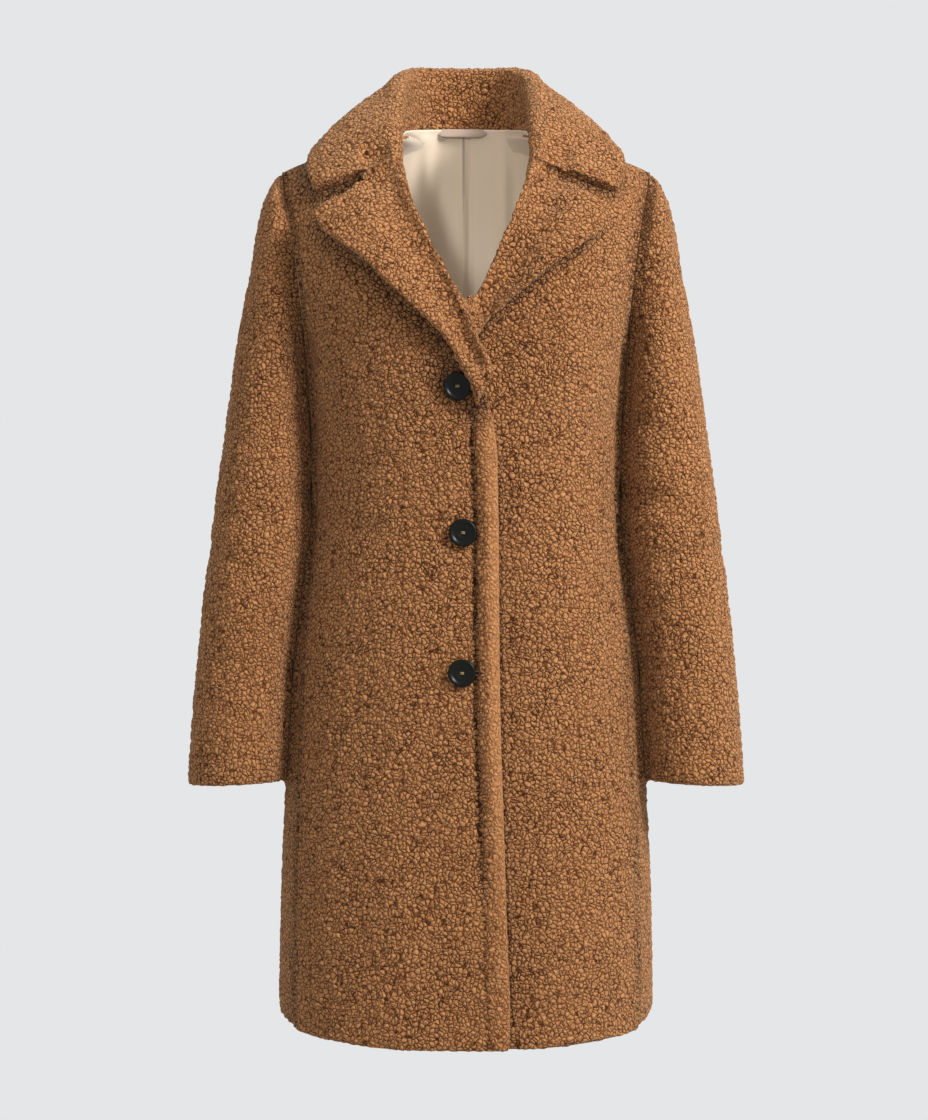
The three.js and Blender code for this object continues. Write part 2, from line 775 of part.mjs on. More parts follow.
// Lapels: the front folded back over itself from the roll line
function lapel(name, under) {
  const rows = 14;
  const [buttonName, buttonX, buttonZ] = buttonRows[0];
  const layGap = 1;
  const depthUnder = (x, z) => (under ? underDip(x, z) : 0);
  const lift = (x, z) => {
    if (under || !buttonName) return 0;
    const away = Math.hypot(x - buttonX, z - buttonZ);
    return 5.4 * (1 - smooth(buttonRadius + 2, buttonRadius + 24, away));
  };
  const loops = [];
  for (let r = 0; r <= rows; r += 1) {
    const v = r / rows;
    const edgeShare = Math.pow(v, 0.9);
    const [ex, ez] = along(lapelEdge[name], edgeShare);
    const rollZ = -262 + (-48 + 262) * Math.pow(v, 1.05);
    const bead = smooth(0, 0.16, v);
    const [rx, rz] = [between(rollLine, rollZ), rollZ];
    const at = (share) => {
      const bend = v * v * v;
      const [tx, tz] = along(lapelTop[name], share);
      const [cx, cz] = [62 + (lapelTop[name][7][0] - 62) * share, -47.5 + (lapelTop[name][7][1] + 47.5) * share];
      return [rx + (ex - rx) * share + (tx - cx) * bend, rz + (ez - rz) * share + (tz - cz) * bend - 0.4 * v];
    };
    const width = Math.hypot(ex - rx, ez - rz);
    const put = (distance, depth) => {
      const [x, z] = at(distance / width);
      const under0 = depthUnder(x, z);
      const lifted = depth < 4 ? lift(x, z) : 0;
      const spread = (under ? 3.5 : 5.5) * smooth(0.45, 1, distance / width) * smooth(0.1, 0.45, v);
      return frontPoint(x, z, depth + under0 - lifted - spread);
    };
    const top = -layGap - lapelWall;
    const low = -layGap + (furWall + layGap) * bead;
    const loop = [];
    loop.push(put(0, (top + low) / 2));
    loop.push(put(1.6, top + 3.4));
    loop.push(put(5.5, top));
    const inside = 7;
    for (let k = 1; k < inside; k += 1) loop.push(put(5.5 + (width - 10.5) * k / inside, top));
    loop.push(put(width - 5, top));
    loop.push(put(width - 1.4, top + 2));
    loop.push(put(width, -layGap - lapelWall / 2));
    loop.push(put(width - 1.4, -layGap - 2));
    loop.push(put(width - 5, -layGap));
    for (let k = inside - 1; k > 0; k -= 1) loop.push(put(10.8 + (width - 15.8) * k / inside, -layGap));
    loop.push(put(10.6, -layGap));
    loop.push(put(9.8, -layGap + (low + layGap) * 0.9));
    loop.push(put(5.5, low));
    loop.push(put(1.6, low - 3.4 * bead - 1.5 * (1 - bead)));
    loops.push(loop);
  }
  return sweepOf(loops.map((loop) => loop.length % 2 ? [...loop, loop[loop.length - 1]] : loop));
}

{
  const [points, faces] = lapel("right", false);
  const [rightPoints, rightFaces] = mirrored(points, faces);
  addPiece("lapel_right", rightPoints, rightFaces, furColour, 0.95);
  const [leftPoints, leftFaces] = lapel("left", true);
  addPiece("lapel_left", leftPoints, leftFaces, furColour, 0.95);
}

// Buttons: turned discs with a raised rim, flat on the right front
for (const [name, past, z] of buttonRows) {
  const profile = [
    [0, 0],
    [buttonRadius - 3, 0],
    [buttonRadius, 1.7],
    [buttonRadius - 0.6, buttonHeight - 0.8],
    [buttonRadius - 2.2, buttonHeight],
    [buttonRadius - 4.2, buttonHeight - 1.2],
    [0, buttonHeight - 1.6],
  ];
  const turns = 20;
  const x = -past;
  const way = frontWay(x, z);
  const base = new THREE.Vector3(...frontPoint(x, z, 0)).add(way.clone().multiplyScalar(seamGap + 0.3));
  const turned = new THREE.Quaternion().setFromUnitVectors(new THREE.Vector3(0, 0, 1), way);
  const points = [];
  const faces = [];
  const place = (px, py, pz) => {
    const p = new THREE.Vector3(px, py, pz).applyQuaternion(turned).add(base);
    return points.push(p.toArray()) - 1;
  };
  const low = place(0, 0, profile[0][1]);
  const rings = profile.slice(1, -1).map(([radius, height]) => {
    const ring = [];
    for (let k = 0; k < turns; k += 1) {
      const turn = 2 * Math.PI * k / turns;
      ring.push(place(radius * Math.cos(turn), radius * Math.sin(turn), height));
    }
    return ring;
  });
  const high = place(0, 0, profile[profile.length - 1][1]);
  for (let k = 0; k < turns; k += 1) {
    const next = (k + 1) % turns;
    faces.push([low, rings[0][next], rings[0][k]]);
    for (let r = 0; r + 1 < rings.length; r += 1) {
      faces.push([rings[r][k], rings[r][next], rings[r + 1][next]]);
      faces.push([rings[r][k], rings[r + 1][next], rings[r + 1][k]]);
    }
    const lastRing = rings[rings.length - 1];
    faces.push([lastRing[k], lastRing[next], high]);
  }
  addPiece(name, points, faces, buttonColour, 0.35);
}

// Hanger loop: a narrow band below the collar's seam at the back of the neck
{
  const steps = 12;
  const [startX, endX] = [-35, 27];
  const bandHeight = 8;
  const bandWall = 1.4;
  const loops = [];
  for (let k = 0; k <= steps; k += 1) {
    const t = k / steps;
    const x = startX + (endX - startX) * t;
    const dip = Math.min(1, 7 * Math.min(t, 1 - t));
    const y = 68.7 + 2.3 * t - 4.2 * Math.pow(Math.sin(Math.PI * t), 0.35);
    const high = 11.3;
    const low = high - 2.5 - (bandHeight - 2) * dip;
    loops.push([
      [x, y, low],
      [x, y, high],
      [x, y - bandWall, high],
      [x, y - bandWall, low],
    ]);
  }
  const [points, faces] = sweepOf(loops);
  addPiece("hanger_loop", points, faces, liningColour, 0.5);
}

export default pieces;
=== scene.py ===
import math

import bpy
import numpy as np
from mathutils.bvhtree import BVHTree
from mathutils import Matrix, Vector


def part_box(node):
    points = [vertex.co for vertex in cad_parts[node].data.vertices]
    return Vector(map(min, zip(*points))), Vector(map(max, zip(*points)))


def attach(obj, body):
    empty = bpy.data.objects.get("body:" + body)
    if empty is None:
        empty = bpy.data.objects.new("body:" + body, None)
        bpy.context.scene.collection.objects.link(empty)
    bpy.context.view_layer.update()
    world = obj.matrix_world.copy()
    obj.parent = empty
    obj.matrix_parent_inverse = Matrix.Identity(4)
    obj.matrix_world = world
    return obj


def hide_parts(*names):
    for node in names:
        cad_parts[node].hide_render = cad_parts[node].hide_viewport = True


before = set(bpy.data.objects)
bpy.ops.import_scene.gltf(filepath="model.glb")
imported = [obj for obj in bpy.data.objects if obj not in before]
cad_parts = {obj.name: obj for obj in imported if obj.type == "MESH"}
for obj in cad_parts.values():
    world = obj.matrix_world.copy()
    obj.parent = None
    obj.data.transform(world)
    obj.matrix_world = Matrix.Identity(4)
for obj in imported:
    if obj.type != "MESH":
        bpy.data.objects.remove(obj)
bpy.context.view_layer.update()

# Right front
# The wearer's right front, one piece of curly faux fur on a knitted backing.
# It lies on top, and its front edge is rolled into a soft ridge.

# In metres: how wide a curl and a tuft of curls are, how deep and how domed, and how far rows wander
CURL = 0.0045
TUFT = 0.0090
TUFT_DEPTH = 0.0013
CURL_DOME = 0.0016
TUFT_DOME = 0.0008
FIBRE_FUZZ = 0.0004
WANDER = 0.0062
FUR_COLOURS_AND_CRACK_SHADE = [
    # (place between crack and tip, colour); the darker colours are painted shade down in the cracks
    (0.0, "#2a1408"),
    (0.35, "#5f371b"),
    (0.7, "#8a5a36"),
    (1.0, "#aa784c"),
]
FOLDED_NODES = ["collar", "lapel_right", "lapel_left"]
CLOTH_NODES = ["front_right", "front_left", "back", "sleeve_right", "sleeve_left"] + FOLDED_NODES
# Where pieces meet, in metres: how near the other one is, how far a piece swells, how deep a seam sinks
NEIGHBOUR = 0.016
MEETING_FROM, MEETING_FULL = 0.009, 0.005
# How near a neighbouring piece has to be for shade to be painted on the pile beside it
GAP_SHADE_NEAR = 0.014
SWELL_MOST = 0.007
SEAM_NEAR = 0.0045
SEAM_DEEP = 0.0018
# How far a place has to face outward for its faces to be divided finely
FACING_OUT = -0.53
FRONT_EDGE = [
    # depth below the neck, x of the edge
    (0.300, 0.0285),
    (0.389, 0.0325),
    (0.589, 0.0335),
    (0.733, 0.0385),
    (0.885, 0.0440),
    (0.935, 0.0445),
]
# Heights of the ridge's top and of the underarm, and then the groove behind the rolled edge
RIDGE_TOP = -0.292
UNDERARM = -0.235
GROOVE_BACK = 0.0245
GROOVE_WIDE = 0.0024
GROOVE_DEEP = 0.0034
ROLL_HIGH = 0.0022
RIGHT_SPACING = 0.0020
RIGHT_CREASES = [
    # (from x, z), (to x, z), half width, depth
    ((-0.150, -0.405), (-0.085, -0.420), 0.012, 0.0022),
    ((-0.160, -0.300), (-0.120, -0.345), 0.020, 0.0025),
    ((-0.100, -0.560), (-0.115, -0.900), 0.030, 0.0030),
    ((-0.040, -0.640), (-0.030, -0.910), 0.026, 0.0022),
]


def linear(hexcode):
    """An sRGB colour as Blender's linear one."""
    parts = [int(hexcode[i:i + 2], 16) / 255 for i in (1, 3, 5)]
    light = [c / 12.92 if c <= 0.04045 else ((c + 0.055) / 1.055) ** 2.4 for c in parts]
    return (*light, 1.0)


def add_node(tree, kind, settings=None, **links):
    """One node with its settings; a link goes to an input by name or number."""
    node = tree.nodes.new(kind)
    for key, value in (settings or {}).items():
        if key.startswith("in_"):
            place = key[3:].replace("_", " ")
            node.inputs[int(place) if place.isdigit() else place].default_value = value
        else:
            setattr(node, key, value)
    for key, socket in links.items():
        place = key[3:] if key.startswith("to_") else key
        place = place.replace("_", " ")
        tree.links.new(socket, node.inputs[int(place) if place.isdigit() else place])
    return node


def wandering(tree, place):
    """The place, shifted a little so that no row of curls is straight."""
    noise = add_node(tree, "ShaderNodeTexNoise", {"in_Scale": 90.0, "in_Detail": 1.0}, Vector=place)
    centred = add_node(tree, "ShaderNodeVectorMath", {"operation": "SUBTRACT", "in_1": (0.5, 0.5, 0.5)},
                       to_0=noise.outputs["Color"])
    small = add_node(tree, "ShaderNodeVectorMath", {"operation": "SCALE", "in_Scale": WANDER},
                     to_0=centred.outputs[0])
    moved = add_node(tree, "ShaderNodeVectorMath", {"operation": "ADD"},
                     to_0=place, to_1=small.outputs[0])
    return moved.outputs[0]


def cells(tree, place, size):
    """Cells of one size: 0 at their edges, about a half in their middles."""
    return add_node(tree, "ShaderNodeTexVoronoi",
                    {"feature": "DISTANCE_TO_EDGE", "in_Scale": 1 / size, "in_Randomness": 0.92},
                    Vector=place).outputs["Distance"]


def rising(tree, value, end, low=0.0, high=1.0, start=0.0):
    """A soft step from one value up to another."""
    return add_node(tree, "ShaderNodeMapRange",
                    {"interpolation_type": "SMOOTHSTEP", "in_1": start, "in_2": end,
                     "in_3": low, "in_4": high}, to_0=value).outputs[0]


def combine(tree, operation, first, second, clamp=False):
    """Two values, or a value and a number, added or multiplied."""
    settings = {"operation": operation, "use_clamp": clamp}
    links = {"to_0": first}
    if isinstance(second, float):
        settings["in_1"] = second
    else:
        links["to_1"] = second
    return add_node(tree, "ShaderNodeMath", settings, **links).outputs[0]


def make_curl_form():
    """Geometry nodes that press the cracks between the tufts into the pile."""
    tree = bpy.data.node_groups.new("curl form", "GeometryNodeTree")
    tree.interface.new_socket("Geometry", in_out="INPUT", socket_type="NodeSocketGeometry")
    tree.interface.new_socket("Geometry", in_out="OUTPUT", socket_type="NodeSocketGeometry")
    start = tree.nodes.new("NodeGroupInput")
    end = tree.nodes.new("NodeGroupOutput")
    rest = add_node(tree, "GeometryNodeInputNamedAttribute",
                    {"data_type": "FLOAT_VECTOR", "in_0": "rest"}).outputs[0]
    pile = add_node(tree, "GeometryNodeInputNamedAttribute",
                    {"data_type": "FLOAT", "in_0": "pile"}).outputs[0]
    normal = tree.nodes.new("GeometryNodeInputNormal")
    tufts = rising(tree, cells(tree, wandering(tree, rest), TUFT), 0.34, -1.0, 0.0)
    clumps = add_node(tree, "ShaderNodeTexNoise", {"in_Scale": 48.0, "in_Detail": 2.0},
                      Vector=rest).outputs["Fac"]
    clumps = rising(tree, clumps, 0.72, -0.5, 0.1, 0.28)
    depth = combine(tree, "MULTIPLY", combine(tree, "ADD", tufts, clumps), TUFT_DEPTH)
    push = add_node(tree, "ShaderNodeVectorMath", {"operation": "SCALE"},
                    to_0=normal.outputs[0], Scale=combine(tree, "MULTIPLY", depth, pile))
    move = add_node(tree, "GeometryNodeSetPosition", {}, Geometry=start.outputs[0],
                    Offset=push.outputs[0])
    tree.links.new(move.outputs[0], end.inputs[0])
    return tree


def make_fur_material():
    """Acrylic teddy fur, knitted, curled and cropped: matt camel curls with painted shade in the cracks
    between.
    """
    material = bpy.data.materials.new("camel curly acrylic pile")
    material.use_nodes = True
    tree = material.node_tree
    shader = tree.nodes["Principled BSDF"]
    place = add_node(tree, "ShaderNodeAttribute", {"attribute_name": "rest"}).outputs["Vector"]
    combed = add_node(tree, "ShaderNodeAttribute", {"attribute_name": "combed"}).outputs["Fac"]
    # Painted shade laid on each piece: under collar and lapels, in seams and gaps, down the front
    # groove
    painted_shade = add_node(tree, "ShaderNodeAttribute", {"attribute_name": "painted_shade"}).outputs["Fac"]
    moved = wandering(tree, place)
    curl = cells(tree, moved, CURL)
    tuft = cells(tree, moved, TUFT)
    # Fibres lie 0.9 mm apart here, coarser than real ones, so that they show
    fibres = add_node(tree, "ShaderNodeTexNoise",
                      {"in_Scale": 1100.0, "in_Detail": 3.0, "in_Roughness": 0.65}, Vector=place)
    patches = add_node(tree, "ShaderNodeTexNoise", {"in_Scale": 30.0, "in_Detail": 2.0}, Vector=place)
    # How dark the painted shade in the cracks is changes over patches of some 33 mm; combed pile hides
    # it, and painted shade on the piece deepens it
    strength = rising(tree, patches.outputs["Fac"], 0.68, 0.80, 1.0, 0.32)
    strength = combine(tree, "ADD", strength, combine(tree, "MULTIPLY", combed, -0.62))
    strength = combine(tree, "ADD", strength, combine(tree, "MULTIPLY", painted_shade, 0.45))
    curl_crack = rising(tree, curl, 0.155, 0.84, 0.0)
    tuft_crack = rising(tree, tuft, 0.065, 0.28, 0.0)
    cracks = combine(tree, "MINIMUM", combine(tree, "ADD", curl_crack, tuft_crack), 0.82)
    dark = combine(tree, "MULTIPLY", cracks, strength, True)
    grain = rising(tree, fibres.outputs["Fac"], 0.75, -0.13, 0.13, 0.25)
    # Loops of the yarn are about 2.3 mm wide
    loops = add_node(tree, "ShaderNodeTexNoise", {"in_Scale": 430.0, "in_Detail": 1.0}, Vector=place)
    loops = rising(tree, loops.outputs["Fac"], 0.66, -0.17, 0.12, 0.34)
    # The colour runs from painted shade down in the cracks up to the camel of the curls' tops
    height = combine(tree, "ADD", combine(tree, "MULTIPLY", dark, -1.0), 0.93)
    height = combine(tree, "ADD", combine(tree, "ADD", height, grain), loops, True)
    ramp = add_node(tree, "ShaderNodeValToRGB", {}, Fac=height)
    for place_on_ramp, _ in FUR_COLOURS_AND_CRACK_SHADE[1:-1]:
        ramp.color_ramp.elements.new(place_on_ramp)
    for stop, (place_on_ramp, hexcode) in zip(ramp.color_ramp.elements, FUR_COLOURS_AND_CRACK_SHADE):
        stop.position = place_on_ramp
        stop.color = linear(hexcode)
    tone = add_node(tree, "ShaderNodeTexNoise", {"in_Scale": 9.0, "in_Detail": 2.0}, Vector=place)
    tone = rising(tree, tone.outputs["Fac"], 0.7, 0.98, 1.02, 0.3)
    tone = combine(tree, "ADD", tone, combine(tree, "MULTIPLY", combed, 0.03))
    # Painted shade darkens the whole colour as well
    tone = combine(tree, "ADD", tone, combine(tree, "MULTIPLY", painted_shade, -0.50))
    shade = add_node(tree, "ShaderNodeHueSaturation", {}, Color=ramp.outputs[0], Value=tone)
    tree.links.new(shade.outputs[0], shader.inputs["Base Color"])
    domes = combine(tree, "MULTIPLY", rising(tree, curl, 0.42), CURL_DOME)
    swells = combine(tree, "MULTIPLY", rising(tree, tuft, 0.25), TUFT_DOME)
    relief = combine(tree, "ADD", domes, swells)
    fuzz = combine(tree, "MULTIPLY", fibres.outputs["Fac"], FIBRE_FUZZ)
    bump = add_node(tree, "ShaderNodeBump", {"in_Strength": 0.85, "in_Distance": 1.0},
                    Height=combine(tree, "ADD", relief, fuzz))
    tree.links.new(bump.outputs[0], shader.inputs["Normal"])
    shader.inputs["Roughness"].default_value = 0.95
    shader.inputs["Specular IOR Level"].default_value = 0.12
    shader.inputs["Sheen Weight"].default_value = 0.3
    shader.inputs["Sheen Roughness"].default_value = 0.5
    shader.inputs["Sheen Tint"].default_value = linear("#e6bd92")
    return material


def make_satin_material(name, colour, shadow, pleat_x=None):
    """Woven polyester satin with a soft sheen along its threads."""
    material = bpy.data.materials.new(name)
    material.use_nodes = True
    tree = material.node_tree
    shader = tree.nodes["Principled BSDF"]
    place = add_node(tree, "ShaderNodeTexCoord", {}).outputs["Object"]
    cloud = add_node(tree, "ShaderNodeTexNoise", {"in_Scale": 9.0, "in_Detail": 2.0}, Vector=place)
    mixed = add_node(tree, "ShaderNodeMix", {"data_type": "RGBA", "in_6": linear(shadow),
                     "in_7": linear(colour)}, to_0=cloud.outputs["Fac"])
    tree.links.new(mixed.outputs[2], shader.inputs["Base Color"])
    # A line of painted shade darkens the pleat, wider lower down where it opens into a slit, and fades
    # out further down
    if pleat_x is not None:
        across = add_node(tree, "ShaderNodeSeparateXYZ", {}, Vector=place)
        away = combine(tree, "ABSOLUTE", combine(tree, "SUBTRACT", across.outputs[0], pleat_x), 0.0)
        below = rising(tree, across.outputs[2], 0.004, 0.0, 1.0, -0.150)
        slit = rising(tree, across.outputs[2], -0.052, 1.0, 0.55, -0.060)
        line = rising(tree, combine(tree, "MULTIPLY", away, slit), 0.0013, 0.52, 0.0)
        line = combine(tree, "MULTIPLY", line, below)
        tone = combine(tree, "ADD", combine(tree, "MULTIPLY", line, -1.0), 1.0)
        shade = add_node(tree, "ShaderNodeHueSaturation", {}, Color=mixed.outputs[2], Value=tone)
        tree.links.new(shade.outputs[0], shader.inputs["Base Color"])
    # The weave is drawn 0.4 mm wide, coarser than real threads, so that it shows
    weave = add_node(tree, "ShaderNodeTexNoise", {"in_Scale": 2400.0, "in_Detail": 1.0}, Vector=place)
    bump = add_node(tree, "ShaderNodeBump", {"in_Strength": 0.12, "in_Distance": 0.0003},
                    Height=weave.outputs["Fac"])
    tree.links.new(bump.outputs[0], shader.inputs["Normal"])
    shader.inputs["Roughness"].default_value = 0.42
    shader.inputs["Sheen Weight"].default_value = 0.3
    shader.inputs["Anisotropic"].default_value = 0.4
    return material


curl_form = make_curl_form()
fur = make_fur_material()
satin = make_satin_material("beige woven satin", "#d8c8b4", "#c8b7a1")


def select_only(piece):
    """Makes one piece the selected and active one."""
    bpy.ops.object.select_all(action="DESELECT")
    piece.select_set(True)
    bpy.context.view_layer.objects.active = piece


def read(piece, what, attribute, width):
    """Numbers of all of a piece's vertices, edges or faces."""
    rows = getattr(piece.data, what)
    values = np.zeros(len(rows) * width, np.float32)
    rows.foreach_get(attribute, values)
    return values.reshape(-1, width) if width > 1 else values


def cloth_from(node, name, levels, firm=0.33):
    """A copy of a solid's form, its corners rounded as the cloth's are."""
    piece = bpy.data.objects.new(name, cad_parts[node].data.copy())
    bpy.context.scene.collection.objects.link(piece)
    piece.data.materials.clear()
    select_only(piece)
    bpy.ops.object.mode_set(mode="EDIT")
    bpy.ops.mesh.select_all(action="SELECT")
    bpy.ops.mesh.remove_doubles(threshold=0.00002)
    bpy.ops.mesh.tris_convert_to_quads(face_threshold=math.radians(70),
                                       shape_threshold=math.radians(80))
    bpy.ops.mesh.select_all(action="DESELECT")
    bpy.ops.mesh.select_mode(type="EDGE")
    bpy.ops.mesh.edges_select_sharp(sharpness=math.radians(34))
    bpy.ops.object.mode_set(mode="OBJECT")
    sharp = read(piece, "edges", "select", 1)
    piece.data.attributes.new("crease_edge", "FLOAT", "EDGE").data.foreach_set("value", sharp * firm)
    if piece.data.has_custom_normals:
        bpy.ops.mesh.customdata_custom_splitnormals_clear()
    rounding = piece.modifiers.new("rounding", "SUBSURF")
    rounding.levels = rounding.render_levels = levels
    bpy.ops.object.modifier_apply(modifier="rounding")
    return piece


def wanted_parts(piece, spacing, outer):
    """How many parts each outer edge needs for an even spacing, and 1 inside."""
    places = read(piece, "vertices", "co", 3)
    ends = np.zeros(len(piece.data.edges) * 2, np.int32)
    piece.data.edges.foreach_get("vertices", ends)
    ends = ends.reshape(-1, 2)
    keep = outer(places, read(piece, "vertices", "normal", 3)) > FACING_OUT
    length = np.linalg.norm(places[ends[:, 0]] - places[ends[:, 1]], axis=1)
    parts = np.rint(length / spacing).astype(int)
    parts[~(keep[ends[:, 0]] & keep[ends[:, 1]])] = 1
    return parts


def select_edges(piece, chosen):
    """Selects the chosen edges and nothing else."""
    piece.data.vertices.foreach_set("select", np.zeros(len(piece.data.vertices), bool))
    piece.data.polygons.foreach_set("select", np.zeros(len(piece.data.polygons), bool))
    piece.data.edges.foreach_set("select", chosen)


def refine(piece, spacing, outer):
    """Divides the edges of the outer faces to an even spacing, the longest first."""
    for _ in range(2):
        select_only(piece)
        most = int(wanted_parts(piece, spacing, outer).max())
        for count in range(min(most, 9), 1, -1):
            chosen = wanted_parts(piece, spacing, outer) >= count
            if not chosen.any():
                continue
            select_edges(piece, chosen)
            bpy.ops.object.mode_set(mode="EDIT")
            bpy.ops.mesh.select_mode(type="EDGE")
            bpy.ops.object.mode_set(mode="OBJECT")
            select_edges(piece, chosen)
            bpy.ops.object.mode_set(mode="EDIT")
            bpy.ops.mesh.subdivide(number_cuts=count - 1)
            bpy.ops.object.mode_set(mode="OBJECT")


def beside_line(places, start, end):
    """How far each place is from a line seen from the front, and how far along it."""
    line = np.subtract(end, start)
    past = places[:, [0, 2]] - start
    along = np.clip(past @ line / (line @ line), 0, 1)
    return np.linalg.norm(past - along[:, None] * line, axis=1), along


def put_back(piece, places):
    """Gives a piece's vertices their new places."""
    piece.data.vertices.foreach_set("co", places.astype(np.float32).ravel())
    piece.data.update()


def unit(ways):
    """Each of the ways at length 1."""
    return ways / np.maximum(np.linalg.norm(ways, axis=1), 1e-6)[:, None]


def crease(piece, creases, front=True):
    """Soft troughs along straight lines seen from the front or from behind."""
    places = read(piece, "vertices", "co", 3)
    moved = places.copy()
    away = unit(places * (1, 1, 0))
    for start, end, wide, deep in creases:
        gap, along = beside_line(places, start, end)
        strength = np.exp(-(gap / wide) ** 2) * (0.35 + 0.65 * np.sin(np.pi * (0.15 + 0.7 * along)))
        strength *= np.where((places[:, 1] < 0.01) == front, 1, 0)
        moved -= away * (deep * strength)[:, None]
    put_back(piece, moved)


def body_outer(places, normals):
    """How far each place faces out of the body, from 1 down to -1 inside."""
    away = places.copy()
    away[:, 2] -= np.minimum(places[:, 2], UNDERARM)
    return (unit(away) * normals).sum(axis=1)


def set_values(piece, name, values, kind="FLOAT", field="value"):
    """An attribute on all of a piece's vertices."""
    made = piece.data.attributes.new(name, kind, "POINT")
    made.data.foreach_set(field, np.asarray(values, np.float32).ravel())


def beside_others(places, chosen, others, reach):
    """How far the nearest of the other cloth solids is, and the way to it."""
    gap = np.full(len(places), 9.0)
    way = np.zeros_like(places)
    corners = []
    faces = []
    for other in others:
        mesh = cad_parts[other].data
        faces += [[len(corners) + v for v in p.vertices] for p in mesh.polygons]
        corners += [v.co for v in mesh.vertices]
    tree = BVHTree.FromPolygons(corners, faces)
    for index in np.flatnonzero(chosen):
        found = tree.find_nearest(places[index], reach)
        if found[0] is not None:
            gap[index] = found[3]
            way[index] = (np.array(found[0]) - places[index]) / max(found[3], 1e-6)
    return gap, way


def step(values, low, high):
    """0 at low, 1 at high, straight between and level beyond; high may be the smaller one."""
    return np.clip((values - low) / (high - low), 0, 1)


def trim_inside(piece, furred):
    """Fur outside and satin on the faces that hold no pile."""
    piece.data.materials.append(fur)
    piece.data.materials.append(satin)
    corners = np.zeros(len(piece.data.loops), np.int32)
    piece.data.loops.foreach_get("vertex_index", corners)
    starts = read(piece, "polygons", "loop_start", 1).astype(int)
    totals = read(piece, "polygons", "loop_total", 1).astype(int)
    share = np.add.reduceat(furred[corners], starts) / totals
    piece.data.polygons.foreach_set("material_index", (share < 0.25).astype(np.int32))


def add_pile(piece, node, outer, combed=None, painted_shade=None, shaded=0.3, reach=NEIGHBOUR,
             joined=None, bare=None):
    """Settles a piece beside its neighbours, keeps that form for the pattern, and raises the curls.

    outer says which faces hold pile, combed, the painted shade and bare where it lies smooth, where
    shade is painted on it or where it lies not at all, and joined where a seam closes. Collar and
    lapels paint shade on what they lie on, as far as reach and as strongly as shaded says.
    """
    places = read(piece, "vertices", "co", 3)
    normals = read(piece, "vertices", "normal", 3)
    facing = outer(places, normals)
    furred = step(facing, -0.62, -0.32)
    if bare is not None:
        furred *= 1 - bare(places)
    gap, way = beside_others(places, facing > -0.5, [n for n in CLOTH_NODES if n != node], NEIGHBOUR)
    ahead = (way * normals).sum(axis=1)
    toward = step(ahead, 0.3, 0.8)
    close = step(gap, MEETING_FROM, MEETING_FULL)
    meeting = close * toward
    if joined is not None:
        drawn = joined(places) * step(gap, NEIGHBOUR, 0.012)
        places = places + way * (0.6 * np.minimum(gap, NEIGHBOUR) * drawn)[:, None]
        meeting *= 1 - joined(places)
    # Faces that meet press together, and a seam sinks between two panels and has shade painted in it
    places = places + normals * (0.6 * np.minimum(gap, SWELL_MOST) * close * toward)[:, None]
    outside = step(facing, 0.3, 0.7)
    seam_sink_and_shade = step(gap, SEAM_NEAR, 0) * (1 - toward) * outside
    places = places - normals * (SEAM_DEEP * seam_sink_and_shade)[:, None]
    put_back(piece, places)

    # Painted shade darkens each sunk seam
    dark = seam_sink_and_shade * 0.7
    if shaded > 0:
        # Painted shadow under the collar and lapels, on what they lie on
        over, _ = beside_others(places, facing > 0.3, [n for n in FOLDED_NODES if n != node], reach)
        under = np.clip(1.3 * (1 - over / reach), 0, 1) * outside * shaded
        # Painted shade in the gaps beside neighbouring pieces
        gap_shade = np.clip(1.2 * (1 - gap / GAP_SHADE_NEAR), 0, 1) * outside * step(ahead, -0.35, -0.05) * 0.42
        dark = np.maximum(np.maximum(dark, gap_shade), under)
    # Painted shade the piece asks for, such as down a groove or beside an edge
    if painted_shade is not None:
        dark = np.maximum(dark, painted_shade(places))
    smooth = step(facing, 0.55, 0.05) * 0.6
    if combed is not None:
        smooth = np.maximum(smooth, combed(places))
    set_values(piece, "rest", places, "FLOAT_VECTOR", "vector")
    set_values(piece, "pile", furred * (1 - meeting) * (1 - 0.7 * smooth))
    set_values(piece, "combed", smooth)
    set_values(piece, "painted_shade", dark)
    select_only(piece)
    form = piece.modifiers.new("curls", "NODES")
    form.node_group = curl_form
    bpy.ops.object.modifier_apply(modifier="curls")
    trim_inside(piece, furred)
    bpy.ops.object.shade_smooth()


def edge_x(z):
    """Where the right front's edge runs, across at a height."""
    return np.interp(-z, [row[0] for row in FRONT_EDGE], [row[1] for row in FRONT_EDGE])


def below_lapel(places):
    """1 below the right lapel, where the rolled edge starts."""
    return step(places[:, 2], RIDGE_TOP, RIDGE_TOP - 0.02)


def front_ridge(piece):
    """The rolled front edge of the upper layer, and the groove beside it."""
    places = read(piece, "vertices", "co", 3)
    facing = body_outer(places, read(piece, "vertices", "normal", 3))
    back = edge_x(places[:, 2]) - places[:, 0]
    here = below_lapel(places) * step(facing, 0.2, 0.6) * np.where(places[:, 1] < 0, 1, 0)
    fading = 0.35 + 0.65 * step(places[:, 2], -0.80, -0.65)
    groove = np.exp(-((back - GROOVE_BACK) / GROOVE_WIDE) ** 2) * GROOVE_DEEP
    roll = np.exp(-((back - GROOVE_BACK * 0.5) / (GROOVE_BACK * 0.42)) ** 2) * ROLL_HIGH
    places[:, 1] += (groove - roll) * here * fading
    put_back(piece, places)


def combed_edge(places):
    """1 on the rolled edge, whose pile is combed smooth."""
    back = edge_x(places[:, 2]) - places[:, 0]
    here = step(back, GROOVE_BACK - 0.002, GROOVE_BACK - 0.016) * below_lapel(places)
    return here * 0.85 * (0.45 + 0.55 * step(places[:, 2], -0.88, -0.73))


